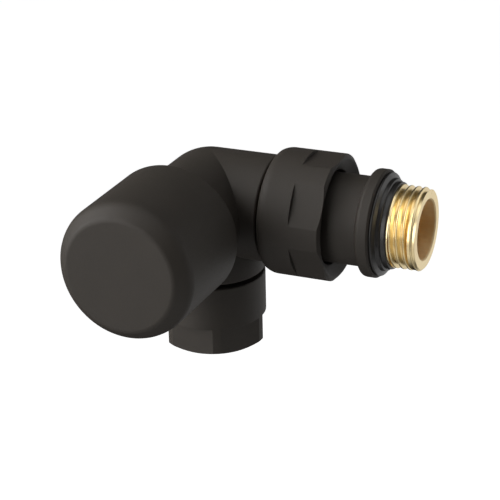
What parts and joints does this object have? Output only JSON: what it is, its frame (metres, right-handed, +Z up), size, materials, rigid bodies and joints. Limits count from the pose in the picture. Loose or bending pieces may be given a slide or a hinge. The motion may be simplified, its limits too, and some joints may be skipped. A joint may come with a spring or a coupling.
{
  "type": "radiator valve",
  "caption": "Matt black corner radiator valve: plain round handwheel, hexagonal union nut with a threaded brass tailpiece, and a compression nut for the pipe below.",
  "frame": {"origin": "on the union axis, in the plane where the radiator thread starts behind its seals", "axes": "+X along the union, out of the valve and into the radiator; -Y along the handwheel's axis, away from the wall; -Z down the pipe's axis; +Z up. The three axes cross at x = -0.0514 m."},
  "size_m": [0.0762, 0.0685, 0.0563],
  "materials": {
    "coat": "matt black powder coat on brass",
    "brass": "bare turned brass",
    "steel": "plain stainless steel",
    "rubber": "smooth black seal rubber",
    "fibre": "pressed fibre gasket",
    "plastic": "dark moulded plastic"
  },
  "bodies": {
    "tail": {"tailpiece": "coat", "tail_snap_ring": "steel", "tail_seal": "rubber", "shoulder_seal": "rubber", "thread_seal": "rubber"},
    "union": {"union_nut": "coat"},
    "valve": {"valve_body": "coat", "seat_ring": "steel", "bonnet": "brass", "bonnet_gasket": "fibre", "gland_nut": "brass", "gland_washer": "brass", "stem_seal_inner": "rubber", "stem_seal_outer": "rubber"},
    "closing": {"plug": "brass", "seat_washer": "rubber", "washer_screw": "steel", "spindle_clip": "steel"},
    "wheel": {"spindle": "steel", "handwheel_hub": "plastic", "hub_screw": "steel", "hub_washer": "steel", "handwheel": "coat"},
    "pipe_rings": {"olive": "brass", "thrust_ring": "brass"},
    "pipe_joint": {"pipe_nut": "coat"}
  },
  "joints": [
    {"name": "union_nut_turn", "type": "hinge", "parent": "tail", "child": "union", "pos_m": [-0.03, 0, 0], "axis": [1, 0, 0], "range_deg": [0, 1440]},
    {"name": "union_draw", "type": "slide", "parent": "tail", "child": "valve", "axis": [-1, 0, 0], "range_m": [0, 0.00725]},
    {"name": "handwheel_turn", "type": "hinge", "parent": "closing", "child": "wheel", "pos_m": [-0.0514, -0.03, 0], "axis": [0, -1, 0], "range_deg": [0, 900]},
    {"name": "plug_lift", "type": "slide", "parent": "valve", "child": "closing", "axis": [0, -1, 0], "range_m": [0, 0.00375]},
    {"name": "pipe_nut_turn", "type": "hinge", "parent": "pipe_rings", "child": "pipe_joint", "pos_m": [-0.0514, 0, -0.03], "axis": [0, 0, -1], "range_deg": [0, 1620]},
    {"name": "pipe_nut_drop", "type": "slide", "parent": "valve", "child": "pipe_rings", "axis": [0, 0, -1], "range_m": [0, 0.00816]}
  ],
  "couplings": [
    {"joint": "union_nut_turn", "follows": "union_draw", "rad_per_m": 3463.7},
    {"joint": "handwheel_turn", "follows": "plug_lift", "rad_per_m": 4188.8},
    {"joint": "pipe_nut_turn", "follows": "pipe_nut_drop", "rad_per_m": 3463.7}
  ]
}
